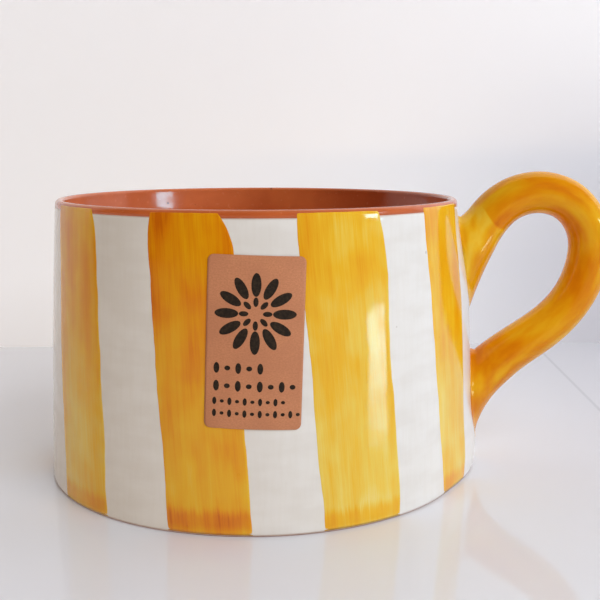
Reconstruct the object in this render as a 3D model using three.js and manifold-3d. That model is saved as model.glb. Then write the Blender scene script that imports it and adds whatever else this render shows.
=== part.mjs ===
// A low, wide terracotta mug: a thrown vessel with a luted coil handle, a white coat outside, a clear
// one inside, nine brushed yellow strokes round the wall and a kraft paper label on the front.
// Millimetres, +Z up. The origin is the centre of the flat underside and the handle lies along +X.
import * as THREE from 'three';
import { mergeVertices } from 'three/addons/utils/BufferGeometryUtils.js';
import Module from 'manifold-3d';

const wasm = await Module();
wasm.setup();

// Driving dimensions of the vessel.
const mugHeight = 70;
const rimRadius = 50.8;
const footRadius = 53.6;
const wallBow = 0.6; // how far the wall bows out at half height
const wallThickness = 4.4; // of the finished wall, coats included
const floorThickness = 6;
const footRounding = 1.6;
const innerRounding = 7;
const bareLip = 1.7; // height of the unglazed band at the lip
const bareFootTurn = 20; // degrees round the foot's rounding where the white coat ends

// Coats. Each lies on the one below with the gap between them.
const coatGap = 0.3;
const glazeCoat = 0.5;
const strokeGap = 0.2;
const strokeCoat = 0.3;
const labelPaper = 0.3;

// The padding of clay that thickens the wall behind the handle: it swells from its top edge down to the
// height where it is full, and once more by the foot.
const paddingTop = 70;
const paddingFull = 40;
const paddingDepth = 2.8;
const footPadding = { depth: 1.3, middle: 6, spread: 6.5 };
const paddingReach = THREE.MathUtils.degToRad(34);

// Handle: a round coil bent into an ear. Points are (distance from the mug's axis, height).
const coilRadius = 5.5;
const coilRoute = [
  [48, 48],
  [57.6, 60.6],
  [63.6, 67.7],
  [72.6, 71],
  [81.4, 68.4],
  [86.7, 61],
  [86.6, 51],
  [82.3, 41.8],
  [75, 34.5],
  [66.5, 28.6],
  [59, 22.4],
  [49, 15],
];

// Luted joints: a smear of clay round each root, longer than it is wide.
const jointWidth = 19;
const jointDepth = 5;
const upperJoint = { middle: 53, length: 27 };
const lowerJoint = { middle: 16.5, length: 30 };

// Strokes: a wider bare gap is left for the handle, and the rest share the way round evenly, give or
// take a few degrees of drift, as a hand places them.
const handleGap = 50; // degrees between the two strokes beside the handle
const strokeLean = 6; // degrees that a stroke's foot lies further round than its top
const strokes = [
  { width: 17.5, drift: 0 },
  { width: 19, drift: 1.5 },
  { width: 18.4, drift: -1 },
  { width: 19.6, drift: 0.5 },
  { width: 18.2, drift: -1.5 },
  { width: 18.9, drift: 0 },
  { width: 19.1, drift: -0.9 },
  { width: 19.8, drift: -2.9 },
  { width: 15, drift: -5.5 },
];

// Label on the front of the mug.
const labelSize = { width: 20.6, height: 36.8 };
const labelPlace = { azimuth: -90.4, height: 42.3, turn: 1.8 };

// Fineness of the round shapes.
const wallSides = 48;
const wallRings = 12;
const coilSides = 12;
const coilSteps = 30;

function wallRadius(height) {
  const share = THREE.MathUtils.clamp(height / mugHeight, 0, 1);
  return THREE.MathUtils.lerp(footRadius, rimRadius, share) + wallBow * 4 * share * (1 - share);
}

function padding(height, azimuth) {
  const swell = 1 - THREE.MathUtils.smoothstep(height, paddingFull, paddingTop);
  const fromFoot = (height - footPadding.middle) / footPadding.spread;
  const depth = paddingDepth * swell + footPadding.depth * Math.exp(-fromFoot * fromFoot);
  const awayFromHandle = Math.acos(Math.cos(azimuth)); // the same on both sides of the handle
  const aside = Math.min(awayFromHandle / paddingReach, 1);
  return depth * Math.cos(aside * Math.PI / 2) ** 2;
}

function profilePoint(height, offset) {
  return new THREE.Vector2(wallRadius(height) + offset, height);
}

function wallPoints(low, high, offset) {
  const points = [];
  for (let ring = 0; ring <= wallRings; ring += 1) {
    points.push(profilePoint(THREE.MathUtils.lerp(low, high, ring / wallRings), offset));
  }
  return points;
}

function arcPoints(centreRadius, centreHeight, radius, startDegrees, endDegrees, steps) {
  const points = [];
  for (let step = 0; step <= steps; step += 1) {
    const angle = THREE.MathUtils.degToRad(THREE.MathUtils.lerp(startDegrees, endDegrees, step / steps));
    const along = centreRadius + radius * Math.cos(angle);
    points.push(new THREE.Vector2(along, centreHeight + radius * Math.sin(angle)));
  }
  return points;
}

// Leaves only positions, shared by the faces that meet at them, and drops faces of no area.
function welded(geometry) {
  geometry.deleteAttribute('normal');
  geometry.deleteAttribute('uv');
  const merged = mergeVertices(geometry, 1e-4);
  const corners = merged.index.array;
  const kept = [];
  for (let face = 0; face < corners.length; face += 3) {
    const [a, b, c] = corners.slice(face, face + 3);
    if (a !== b && b !== c && c !== a) kept.push(a, b, c);
  }
  merged.setIndex(kept);
  return merged;
}

function turned(points) {
  return welded(new THREE.LatheGeometry(points, wallSides).rotateX(Math.PI / 2));
}

// Moves the outer half of a wall outwards where the handle's padding lies.
function padded(geometry) {
  const place = geometry.attributes.position;
  for (let index = 0; index < place.count; index += 1) {
    const [x, y, z] = [place.getX(index), place.getY(index), place.getZ(index)];
    const radius = Math.hypot(x, y);
    if (radius < wallRadius(z) - wallThickness / 2) continue;
    const stretch = 1 + padding(z, Math.atan2(y, x)) / radius;
    place.setXY(index, x * stretch, y * stretch);
  }
  return geometry;
}

// Bends a flat sheet round the wall: x runs round it, y goes into it and z stays upright.
function wrapped(geometry, azimuthAt) {
  const place = geometry.attributes.position;
  for (let index = 0; index < place.count; index += 1) {
    const height = place.getZ(index);
    const azimuth = azimuthAt(place.getX(index), height);
    const radius = wallRadius(height) + padding(height, azimuth) - place.getY(index);
    place.setXY(index, radius * Math.cos(azimuth), radius * Math.sin(azimuth));
  }
  return welded(geometry);
}

function solid(geometry) {
  const { position } = geometry.attributes;
  return new wasm.Manifold(new wasm.Mesh({
    numProp: 3,
    vertProperties: new Float32Array(position.array),
    triVerts: new Uint32Array(geometry.index.array),
  }));
}

function geometryOf(manifold) {
  const mesh = manifold.getMesh();
  const geometry = new THREE.BufferGeometry();
  geometry.setAttribute('position', new THREE.BufferAttribute(mesh.vertProperties, 3));
  geometry.setIndex(new THREE.BufferAttribute(mesh.triVerts, 1));
  geometry.computeVertexNormals();
  return geometry;
}

function coil(radius) {
  const route = new THREE.CatmullRomCurve3(coilRoute.map(([out, up]) => new THREE.Vector3(out, 0, up)));
  const section = new THREE.Shape().absarc(0, 0, radius, 0, Math.PI * 2);
  const settings = { steps: coilSteps, curveSegments: coilSides / 2, extrudePath: route };
  return solid(welded(new THREE.ExtrudeGeometry(section, settings)));
}

// The vessel as a full block, for cutting the pieces that sit against it.
function wallBlock(offset) {
  const outline = [
    new THREE.Vector2(0, 0),
    profilePoint(0, offset),
    profilePoint(footRounding, offset),
    ...wallPoints(footRounding * 2, glazeTop, offset),
    profilePoint(mugHeight * 1.2, offset),
    new THREE.Vector2(0, mugHeight * 1.2),
  ];
  return solid(padded(turned(outline)));
}

function smear(joint, growth) {
  const shape = new THREE.SphereGeometry(1, 20, 14).rotateX(Math.PI / 2);
  shape.scale(jointDepth + growth, jointWidth / 2 + growth, joint.length / 2 + growth);
  shape.translate(wallRadius(joint.middle) + padding(joint.middle, 0), 0, joint.middle);
  return solid(welded(shape));
}

const clayOffset = -glazeCoat - coatGap;
const innerWall = wallThickness - glazeCoat - coatGap;
const glazeTop = mugHeight - bareLip;
const footMiddle = wallRadius(0) + clayOffset - footRounding;
const wallGap = wallBlock(clayOffset + coatGap);

function body() {
  const lipRadius = innerWall / 2;
  const lipMiddle = wallRadius(mugHeight) - lipRadius;
  const inside = wallRadius(mugHeight) - innerWall;
  const insideFoot = wallRadius(floorThickness) - wallThickness + glazeCoat + coatGap;
  const outline = [
    new THREE.Vector2(0, 0),
    ...arcPoints(footMiddle, footRounding, footRounding, -90, 0, 3),
    ...wallPoints(footRounding * 2, glazeTop, clayOffset),
    profilePoint(glazeTop + coatGap, clayOffset),
    profilePoint(glazeTop + coatGap, 0),
    ...arcPoints(lipMiddle, mugHeight - lipRadius, lipRadius, 30, 150, 4),
    new THREE.Vector2(inside, mugHeight - lipRadius),
    ...arcPoints(insideFoot - innerRounding, floorThickness + innerRounding, innerRounding, 0, -90, 4),
    new THREE.Vector2(0, floorThickness),
  ];
  return padded(turned(outline));
}

function linerGlaze() {
  const top = mugHeight - innerWall / 2 - coatGap;
  const outside = wallRadius(mugHeight) - innerWall - coatGap;
  const footOutside = wallRadius(floorThickness) - wallThickness + glazeCoat;
  const middle = footOutside + coatGap - innerRounding;
  const arcHeight = floorThickness + innerRounding;
  const outline = [
    new THREE.Vector2(0, floorThickness + coatGap),
    ...arcPoints(middle, arcHeight, innerRounding - coatGap, -90, 0, 4),
    new THREE.Vector2(outside, top),
    new THREE.Vector2(outside - glazeCoat, top),
    ...arcPoints(middle, arcHeight, innerRounding - coatGap - glazeCoat, 0, -90, 4),
    new THREE.Vector2(0, floorThickness + coatGap + glazeCoat),
  ];
  return turned(outline);
}

function whiteGlaze() {
  const outside = [
    ...arcPoints(footMiddle, footRounding, footRounding - clayOffset, -bareFootTurn, 0, 2),
    ...wallPoints(footRounding * 2, glazeTop, 0),
  ];
  const inside = [
    ...arcPoints(footMiddle, footRounding, footRounding + coatGap, -bareFootTurn, 0, 2),
    ...wallPoints(footRounding * 2, glazeTop, -glazeCoat),
  ];
  const outline = [...outside, ...inside.reverse(), outside[0]];
  const sleeve = solid(padded(turned(outline)));
  return geometryOf(sleeve.subtract(smear(upperJoint, coatGap)).subtract(smear(lowerJoint, coatGap)));
}

function handle() {
  return geometryOf(coil(coilRadius - glazeCoat - coatGap).subtract(wallGap));
}

function handleGlaze() {
  return geometryOf(coil(coilRadius).subtract(coil(coilRadius - glazeCoat)).subtract(wallGap));
}

function handleJoint(joint) {
  return geometryOf(smear(joint, 0).subtract(coil(coilRadius + coatGap)).subtract(wallGap));
}

function stroke({ width, drift }, number) {
  const low = footRounding;
  const high = glazeTop - coatGap;
  const sheet = new THREE.BoxGeometry(width, strokeCoat, high - low, 5, 1, wallRings);
  sheet.translate(0, -strokeGap - strokeCoat / 2, (low + high) / 2);
  const pitch = (360 - handleGap) / (strokes.length - 1);
  const middle = handleGap / 2 + pitch * number + drift;
  return wrapped(sheet, (across, height) => {
    const lean = strokeLean * (0.5 - height / mugHeight);
    return THREE.MathUtils.degToRad(middle + lean) + across / wallRadius(height);
  });
}

function paperLabel() {
  const sheet = new THREE.BoxGeometry(labelSize.width, labelPaper, labelSize.height, 6, 1, 6);
  sheet.rotateY(THREE.MathUtils.degToRad(labelPlace.turn));
  sheet.translate(0, -2 * strokeGap - strokeCoat - labelPaper / 2, labelPlace.height);
  const middle = THREE.MathUtils.degToRad(labelPlace.azimuth);
  return wrapped(sheet, (across, height) => middle + across / wallRadius(height));
}

const terracotta = new THREE.MeshStandardMaterial({ color: 0xc4703f, roughness: 0.55, metalness: 0 });
const clearGlaze = new THREE.MeshStandardMaterial({ color: 0xb5603a, roughness: 0.12, metalness: 0 });
const white = new THREE.MeshStandardMaterial({ color: 0xe6e1d8, roughness: 0.15, metalness: 0 });
const yellow = new THREE.MeshStandardMaterial({ color: 0xe8a628, roughness: 0.18, metalness: 0 });
const kraft = new THREE.MeshStandardMaterial({ color: 0xc48a5f, roughness: 0.85, metalness: 0 });

const mug = new THREE.Group();

function place(name, geometry, material) {
  const mesh = new THREE.Mesh(geometry, material);
  mesh.name = name;
  mug.add(mesh);
}

place('body', body(), terracotta);
place('clear_liner_glaze', linerGlaze(), clearGlaze);
place('white_glaze', whiteGlaze(), white);
place('handle', handle(), terracotta);
place('handle_glaze', handleGlaze(), yellow);
place('upper_handle_joint', handleJoint(upperJoint), yellow);
place('lower_handle_joint', handleJoint(lowerJoint), yellow);
strokes.forEach((settings, number) => {
  place(`stroke_${number + 1}`, stroke(settings, number), yellow);
});
place('paper_label', paperLabel(), kraft);

export default mug;
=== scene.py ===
import math

import bpy
import numpy as np
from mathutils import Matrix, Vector


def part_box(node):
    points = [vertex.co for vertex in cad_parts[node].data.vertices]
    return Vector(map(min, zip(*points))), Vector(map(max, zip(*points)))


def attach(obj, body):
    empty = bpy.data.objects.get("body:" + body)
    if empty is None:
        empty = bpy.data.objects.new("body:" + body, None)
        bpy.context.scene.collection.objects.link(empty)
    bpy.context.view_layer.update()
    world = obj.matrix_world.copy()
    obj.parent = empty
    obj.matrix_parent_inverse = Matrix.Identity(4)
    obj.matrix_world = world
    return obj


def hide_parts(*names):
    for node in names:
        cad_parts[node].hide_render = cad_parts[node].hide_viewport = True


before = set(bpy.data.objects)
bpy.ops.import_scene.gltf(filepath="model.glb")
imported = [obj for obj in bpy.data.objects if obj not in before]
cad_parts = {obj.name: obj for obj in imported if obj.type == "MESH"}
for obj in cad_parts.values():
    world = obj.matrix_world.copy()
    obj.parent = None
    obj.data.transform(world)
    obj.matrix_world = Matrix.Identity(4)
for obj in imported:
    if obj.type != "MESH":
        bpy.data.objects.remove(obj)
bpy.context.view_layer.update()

# Sizes are in millimetres and turned into metres when a mesh is made. Azimuths are degrees
# anticlockwise from the handle, which lies along +X; the label faces -Y.
mm = 0.001
scene = bpy.context.scene
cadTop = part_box("body")[1].z / mm

vessel = {
    "height": cadTop,
    "rimRadius": 50.8,
    "footRadius": 53.8,
    "bow": 0.35,              # how far the wall bows out at half height
    "footRounding": 0.5,
    "glazeTop": cadTop - 1.7,    # the white coat stops here and bare clay shows above it
    "glazeFoot": 0.2,
    "lipWidth": 1.9,
    "lipDepth": 0.9,
    "flare": 0.8,            # the wall thickens by this much over the stretch just below the lip
    "flareDepth": 5.2,
    "thickDepth": 30.0,      # and reaches its full thickness this far down
    "wallThickness": 4.4,
    "floorThickness": 6.8,
    "innerRounding": 7.0,
    "ridge": 0.1,            # height of the finger ridges inside
    "ridgePitch": 5.2,
    "coat": 0.35,            # what the coats take up of the wall
    "sides": 288,
}
padding = {                  # the wall swells a little behind the handle
    "top": 70.0,
    "full": 40.0,
    "depth": 2.8,
    "footDepth": 1.3,
    "footMiddle": 6.0,
    "footSpread": 6.5,
    "reach": 34.0,
}


# Small helpers for meshes and node trees.

def smoothStep(low, high, value):
    share = np.clip((value - low) / (high - low), 0, 1)
    return share * share * (3 - 2 * share)


def makeMesh(name, points, faces):
    mesh = bpy.data.meshes.new(name)
    mesh.from_pydata((np.asarray(points, float) * mm).tolist(), [], faces)
    mesh.validate()
    mesh.shade_smooth()
    piece = bpy.data.objects.new(name, mesh)
    scene.collection.objects.link(piece)
    return piece


def storeVectors(piece, name, vectors):
    attribute = piece.data.attributes.new(name, "FLOAT_VECTOR", "POINT")
    attribute.data.foreach_set("vector", np.asarray(vectors, np.float32).ravel())


def gridFaces(rows, columns, wrapRows=False):
    # Quads over rows of points that each close on themselves.
    faces = []
    for row in range(rows if wrapRows else rows - 1):
        here, above = row * columns, (row + 1) % rows * columns
        for column in range(columns):
            beside = (column + 1) % columns
            faces.append((here + column, here + beside, above + beside, above + column))
    return faces


def addNode(tree, kind, inputs=None, **settings):
    made = tree.nodes.new(kind)
    for name, value in settings.items():
        setattr(made, name, value)
    for name, value in (inputs or {}).items():
        if isinstance(value, bpy.types.NodeSocket):
            tree.links.new(value, made.inputs[name])
        else:
            made.inputs[name].default_value = value
    return made


def calc(tree, operation, *values):
    return addNode(tree, "ShaderNodeMath", dict(enumerate(values)), operation=operation).outputs[0]


def plus(tree, first, second):
    return calc(tree, "ADD", first, second)


def minus(tree, first, second):
    return calc(tree, "SUBTRACT", first, second)


def times(tree, first, second):
    return calc(tree, "MULTIPLY", first, second)


def weighted(tree, total, amounts):
    for value, weight in amounts:
        total = plus(tree, total, times(tree, value, weight))
    return total


def stretched(tree, place, factors):
    return addNode(tree, "ShaderNodeVectorMath", {0: place, 1: factors}, operation="MULTIPLY").outputs[0]


def vectorOf(tree, x=0.0, y=0.0, z=0.0):
    return addNode(tree, "ShaderNodeCombineXYZ", {"X": x, "Y": y, "Z": z}).outputs[0]


def partsOf(tree, place):
    return addNode(tree, "ShaderNodeSeparateXYZ", {0: place}).outputs


def remap(tree, value, low, high, toLow=0.0, toHigh=1.0):
    inputs = {"Value": value, "From Min": low, "From Max": high, "To Min": toLow, "To Max": toHigh}
    return addNode(tree, "ShaderNodeMapRange", inputs, interpolation_type="SMOOTHSTEP").outputs[0]


def mixColours(tree, share, first, second):
    made = addNode(tree, "ShaderNodeMix", {0: share, 6: first, 7: second}, data_type="RGBA")
    return made.outputs[2]


def noise(tree, place, scale, detail=2.0, roughness=0.5):
    inputs = {"Vector": place, "Scale": scale, "Detail": detail, "Roughness": roughness}
    return addNode(tree, "ShaderNodeTexNoise", inputs).outputs[0]


def paint(red, green, blue):
    # A paint-chart colour, 0 to 255, as the linear light that shaders use.
    shares = [channel / 255 for channel in (red, green, blue)]
    return tuple(s / 12.92 if s < 0.04 else ((s + 0.055) / 1.055) ** 2.4 for s in shares) + (1.0,)


def colourRamp(tree, value, colours):
    ramp = addNode(tree, "ShaderNodeValToRGB", {0: value})
    while len(ramp.color_ramp.elements) < len(colours):
        ramp.color_ramp.elements.new(0.5)
    for element, (where, colour) in zip(ramp.color_ramp.elements, colours):
        element.position = where
        element.color = colour
    return ramp.outputs[0]


def newGroup(name, kind, inputs, outputs):
    tree = bpy.data.node_groups.new(name, kind)
    for socketName, socketKind, default in inputs:
        socket = tree.interface.new_socket(socketName, in_out="INPUT", socket_type="NodeSocket" + socketKind)
        if default is not None:
            socket.default_value = default
    for socketName, socketKind in outputs:
        tree.interface.new_socket(socketName, in_out="OUTPUT", socket_type="NodeSocket" + socketKind)
    return tree, tree.nodes.new("NodeGroupInput").outputs, tree.nodes.new("NodeGroupOutput")


# Shader groups that several finishes share.

def makeBrushStreaks():
    # Long thin streaks and broad thick-and-thin patches, as a loaded brush leaves them.
    tree, given, result = newGroup(
        "brushStreaks", "ShaderNodeTree",
        [("Place", "Vector", None), ("Across", "Float", 1.2), ("Along", "Float", 0.05),
         ("Patches", "Float", 0.2)],
        [("Streak", "Float"), ("Patch", "Float")])
    factors = vectorOf(tree, given["Across"], given["Along"], 1.0)
    drawn = stretched(tree, given["Place"], factors)
    fine = noise(tree, drawn, 1.0, 4.0, 0.6)
    broad = noise(tree, drawn, given["Patches"], 2.0, 0.5)
    tree.links.new(remap(tree, fine, 0.3, 0.7), result.inputs["Streak"])
    tree.links.new(remap(tree, broad, 0.34, 0.66), result.inputs["Patch"])
    return tree


def makeGlazeSurface():
    # The slow ripple of melted glaze, with a pinhole here and there.
    tree, given, result = newGroup(
        "glazeSurface", "ShaderNodeTree",
        [("Place", "Vector", None), ("Ripple", "Float", 70.0), ("Pinholes", "Float", 260.0)],
        [("Height", "Float"), ("Roughness", "Float"), ("Pinhole", "Float")])
    ripple = noise(tree, given["Place"], given["Ripple"], 2.0, 0.4)
    cells = addNode(tree, "ShaderNodeTexVoronoi", {
        "Vector": given["Place"], "Scale": given["Pinholes"]})
    chosen = partsOf(tree, cells.outputs["Color"])["X"]
    rare = calc(tree, "GREATER_THAN", chosen, 0.93)
    pinhole = times(tree, rare, remap(tree, cells.outputs["Distance"], 0.11, 0.05))
    height = minus(tree, ripple, times(tree, pinhole, 0.5))
    wear = noise(tree, given["Place"], 420.0, 3.0, 0.6)
    tree.links.new(height, result.inputs["Height"])
    tree.links.new(remap(tree, wear, 0.3, 0.8, 0.05, 0.11), result.inputs["Roughness"])
    tree.links.new(pinhole, result.inputs["Pinhole"])
    return tree


def makeClayGrain():
    # Fired red clay: cloudy tone with fine grit.
    tree, given, result = newGroup(
        "clayGrain", "ShaderNodeTree",
        [("Place", "Vector", None), ("Clouds", "Float", 55.0), ("Grit", "Float", 900.0)],
        [("Cloud", "Float"), ("Grit", "Float"), ("Height", "Float")])
    cloud = noise(tree, given["Place"], given["Clouds"], 4.0, 0.6)
    grit = noise(tree, given["Place"], given["Grit"], 2.0, 0.7)
    tree.links.new(remap(tree, cloud, 0.3, 0.7), result.inputs["Cloud"])
    tree.links.new(remap(tree, grit, 0.6, 0.75), result.inputs["Grit"])
    tree.links.new(plus(tree, cloud, times(tree, grit, 0.6)), result.inputs["Height"])
    return tree


brushStreaks = makeBrushStreaks()
glazeSurface = makeGlazeSurface()
clayGrain = makeClayGrain()


def newMaterial(name, **sockets):
    material = bpy.data.materials.new(name)
    material.use_nodes = True
    tree = material.node_tree
    shader = tree.nodes["Principled BSDF"]
    for socketName, value in sockets.items():
        shader.inputs[socketName.replace("_", " ")].default_value = value
    return material, tree, shader


def useGroup(tree, group, inputs):
    return addNode(tree, "ShaderNodeGroup", inputs, node_tree=group).outputs


def objectPlace(tree):
    return addNode(tree, "ShaderNodeTexCoord").outputs["Object"]


def stored(tree, name, output="Vector"):
    return addNode(tree, "ShaderNodeAttribute", attribute_name=name).outputs[output]


def addBump(tree, shader, height, depth):
    bump = addNode(tree, "ShaderNodeBump", {"Height": height, "Distance": depth})
    tree.links.new(bump.outputs[0], shader.inputs["Normal"])


# The wall, which every coat follows.

def wallRadius(z):
    share = z / vessel["height"]
    bowed = vessel["bow"] * 4 * share * (1 - share)
    radius = vessel["footRadius"] + (vessel["rimRadius"] - vessel["footRadius"]) * share + bowed
    foot, lip = vessel["footRounding"], vessel["lipDepth"]
    intoFoot = np.clip(foot - z, 0, foot)
    intoLip = np.clip(z - (vessel["height"] - lip), 0, lip)
    footInset = foot - np.sqrt(foot ** 2 - intoFoot ** 2)
    lipInset = vessel["lipWidth"] / 2 * (1 - np.sqrt(1 - (intoLip / lip) ** 2))
    return radius - footInset - lipInset


def paddingDepth(z, azimuth):
    swell = 1 - smoothStep(padding["full"], padding["top"], z)
    fromFoot = (z - padding["footMiddle"]) / padding["footSpread"]
    depth = padding["depth"] * swell + padding["footDepth"] * np.exp(-fromFoot ** 2)
    away = np.degrees(np.arccos(np.cos(azimuth)))
    return depth * np.cos(np.minimum(away / padding["reach"], 1) * math.pi / 2) ** 2


def wallPoint(z, azimuth, above=0.0):
    radius = wallRadius(z) + paddingDepth(z, azimuth) + above
    return np.stack([radius * np.cos(azimuth), radius * np.sin(azimuth), z + 0 * azimuth], axis=-1)


def vesselProfile(inset):
    # Half section from the middle of the underside, over the lip, to the middle of the floor inside.
    v = vessel
    turn = np.linspace(0, math.pi / 2, 9)
    foot = [(wallRadius(0.0), 0.0)]
    foot += [(wallRadius(z), z) for z in v["footRounding"] * (1 - np.cos(turn[1:]))]
    wall = [(wallRadius(z), z) for z in np.linspace(v["footRounding"] + 1, v["height"] - v["lipDepth"], 70)]
    lipMiddle = v["rimRadius"] - v["lipWidth"] / 2
    over = np.linspace(0, math.pi, 21)[1:]
    lipBase = v["height"] - v["lipDepth"]
    lip = [(lipMiddle + v["lipWidth"] / 2 * math.cos(a), lipBase + v["lipDepth"] * math.sin(a)) for a in over]
    inside = []
    floorCorner = v["floorThickness"] + v["innerRounding"]
    for z in np.linspace(lipBase - 0.8, floorCorner, 60):
        below = lipBase - z
        flared = v["flare"] * (1 - max(1 - below / v["flareDepth"], 0) ** 1.2)
        rest = v["wallThickness"] - v["lipWidth"] - v["flare"]
        thickness = v["lipWidth"] + flared + rest * smoothStep(0, v["thickDepth"], below)
        inside.append((wallRadius(z) - thickness, z))
    cornerMiddle = inside[-1][0] - v["innerRounding"]
    corner = [(cornerMiddle + v["innerRounding"] * math.cos(a),
               floorCorner - v["innerRounding"] * math.sin(a)) for a in turn[1:]]
    floor = [(radius, v["floorThickness"]) for radius in np.linspace(cornerMiddle, 0, 26)[1:]]
    under = [(radius, 0.0) for radius in np.linspace(0, wallRadius(0.0), 26)[:-1]]
    line = np.array(under + foot + wall + lip + inside + corner + floor)
    along = np.gradient(line, axis=0)
    along /= np.linalg.norm(along, axis=1)[:, None]
    line -= inset * np.stack([along[:, 1], -along[:, 0]], axis=1)
    line[[0, -1], 0] = 0
    return line, len(under) + len(foot) + len(wall)


def turnProfile(name, line, shape, closed=False):
    # Turns a half section round the axis; a section that starts and ends on the axis gets one pole there.
    azimuths = np.arange(vessel["sides"]) * 2 * math.pi / vessel["sides"]
    inner = line if closed else line[1:-1]
    rings = np.stack([shape(radius, z, azimuths) for radius, z in inner])
    points = rings.reshape(-1, 3)
    faces = gridFaces(len(inner), vessel["sides"], wrapRows=closed)
    if not closed:
        first, last = len(points), len(points) + 1
        points = np.vstack([points, [[0, 0, line[0][1]], [0, 0, line[-1][1]]]])
        top = (len(inner) - 1) * vessel["sides"]
        for column in range(vessel["sides"]):
            beside = (column + 1) % vessel["sides"]
            faces.append((first, beside, column))
            faces.append((last, top + column, top + beside))
    return makeMesh(name, points, faces)


def shapeWall(radius, z, azimuths):
    # The padding moves only the outer half of the wall; finger ridges mark only the inside.
    outer = radius > wallRadius(min(max(z, 0.0), vessel["height"])) - vessel["wallThickness"] / 2
    if outer:
        radius = radius + paddingDepth(z, azimuths)
    else:
        depth = vessel["ridge"] * smoothStep(6, 22, vessel["height"] - z) * smoothStep(0, 20, radius)
        radius = radius + depth * np.sin(2 * math.pi * (z / vessel["ridgePitch"]) + azimuths)
    return np.stack([radius * np.cos(azimuths), radius * np.sin(azimuths), z + 0 * azimuths], axis=-1)


# Thrown body: bare red clay, seen at the foot and underneath.

def makeBody():
    line, _ = vesselProfile(vessel["coat"])
    line[:, 1] = np.where(line[:, 1] < 1, np.maximum(line[:, 1] - vessel["coat"], 0), line[:, 1])
    return turnProfile("thrownBody", line, shapeWall)


clay = {
    "tones": (paint(168, 88, 54), paint(205, 122, 80)),
    "grit": paint(225, 165, 125),
    "gritShare": 0.5,
    "roughness": (0.62, 0.8),
    "turning": 3600.0,           # how closely the turning marks ring the underside
    "turningHeight": 0.25,
    "relief": 0.00012,
}


def makeClay():
    material, tree, shader = newMaterial("bareRedClay")
    place = objectPlace(tree)
    grain = useGroup(tree, clayGrain, {"Place": place})
    tone = mixColours(tree, grain["Cloud"], *clay["tones"])
    speck = mixColours(tree, times(tree, grain["Grit"], clay["gritShare"]), tone, clay["grit"])
    tree.links.new(speck, shader.inputs["Base Color"])
    tree.links.new(remap(tree, grain["Cloud"], 0, 1, *clay["roughness"]), shader.inputs["Roughness"])
    # Turning marks ring the underside.
    flat = stretched(tree, place, (1.0, 1.0, 0.0))
    reach = addNode(tree, "ShaderNodeVectorMath", {0: flat}, operation="LENGTH").outputs["Value"]
    rings = calc(tree, "SINE", times(tree, reach, clay["turning"]))
    height = weighted(tree, grain["Height"], [(rings, clay["turningHeight"])])
    addBump(tree, shader, height, clay["relief"])
    return material


# Clear liner glaze: the shine inside and over the lip.

liner = {
    "thickness": 0.3,
    "tones": (paint(188, 90, 44), paint(212, 110, 56)),
    "grit": paint(225, 140, 95),
    "gritShare": 0.3,
    # the paler crest colour is a painted highlight along the lip
    "crest": paint(222, 150, 112),
    "crestDepth": 0.7,
    "crestShare": 0.25,
    "pinhole": paint(110, 50, 28),
    "clouds": 38.0,
    "ripple": 60.0,
    "softening": 2.2,            # the clay's own roughness, as a multiple of the melted glaze's
    "relief": 0.00012,
    "shine": {"Coat_Weight": 0.25, "Coat_Roughness": 0.06, "Specular_IOR_Level": 0.35},
}


def makeLiner():
    outer, outsideCount = vesselProfile(0.0)
    inner, _ = vesselProfile(liner["thickness"])
    start = outsideCount - 2
    sides = vessel["sides"]
    azimuths = np.arange(sides) * 2 * math.pi / sides
    upper, lower = outer[start:-1], inner[start:-1]
    points = np.vstack([shapeWall(radius, z, azimuths) for radius, z in np.vstack([upper, lower])])
    rows = len(upper)
    faces = gridFaces(rows, sides)
    faces += [(a + rows * sides, d + rows * sides, c + rows * sides, b + rows * sides)
              for a, b, c, d in gridFaces(rows, sides)]
    top, bottom = len(points), len(points) + 1
    points = np.vstack([points, [[0, 0, outer[-1][1]], [0, 0, inner[-1][1]]]])
    for column in range(sides):
        beside = (column + 1) % sides
        faces.append((column, rows * sides + column, rows * sides + beside, beside))
        faces.append((top, (rows - 1) * sides + column, (rows - 1) * sides + beside))
        faces.append((bottom, (2 * rows - 1) * sides + beside, (2 * rows - 1) * sides + column))
    return makeMesh("clearLiner", points, faces)


def makeGlossyClay():
    material, tree, shader = newMaterial("clearGlazeOnClay", **liner["shine"])
    place = objectPlace(tree)
    grain = useGroup(tree, clayGrain, {"Place": place, "Clouds": liner["clouds"]})
    surface = useGroup(tree, glazeSurface, {"Place": place, "Ripple": liner["ripple"]})
    tone = mixColours(tree, grain["Cloud"], *liner["tones"])
    speck = mixColours(tree, times(tree, grain["Grit"], liner["gritShare"]), tone, liner["grit"])
    # The crest of the lip is painted paler, a painted highlight along it.
    up = partsOf(tree, place)["Z"]
    crest = remap(tree, up, (vessel["height"] - liner["crestDepth"]) * mm, vessel["height"] * mm)
    wornAndHighlit = mixColours(tree, times(tree, crest, liner["crestShare"]), speck, liner["crest"])
    dark = remap(tree, surface["Pinhole"], 0.2, 1.0)
    tree.links.new(mixColours(tree, dark, wornAndHighlit, liner["pinhole"]), shader.inputs["Base Color"])
    # Under the clear skin the clay keeps a soft sheen of its own.
    softer = times(tree, surface["Roughness"], liner["softening"])
    tree.links.new(softer, shader.inputs["Roughness"])
    addBump(tree, shader, surface["Height"], liner["relief"])
    return material


# White glaze: the coat round the outside wall.

whiteCoat = {
    "thickness": 0.3,
    "rows": 110,
    "proud": 0.02,               # how far the coat stands out of the wall, away from its edges
    "edge": 0.4,
    "tones": (paint(230, 227, 221), paint(235, 233, 228)),
    "streaks": paint(220, 215, 205),
    "streakShare": 0.2,
    "bareClay": paint(190, 140, 105),
    "clayShare": 0.6,
    "clayBelowTop": 0.45,
    "clayAboveFoot": 0.5,
    "pinhole": paint(150, 120, 95),
    "pinholeShare": 0.35,
    "relief": 0.00018,
}


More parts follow.
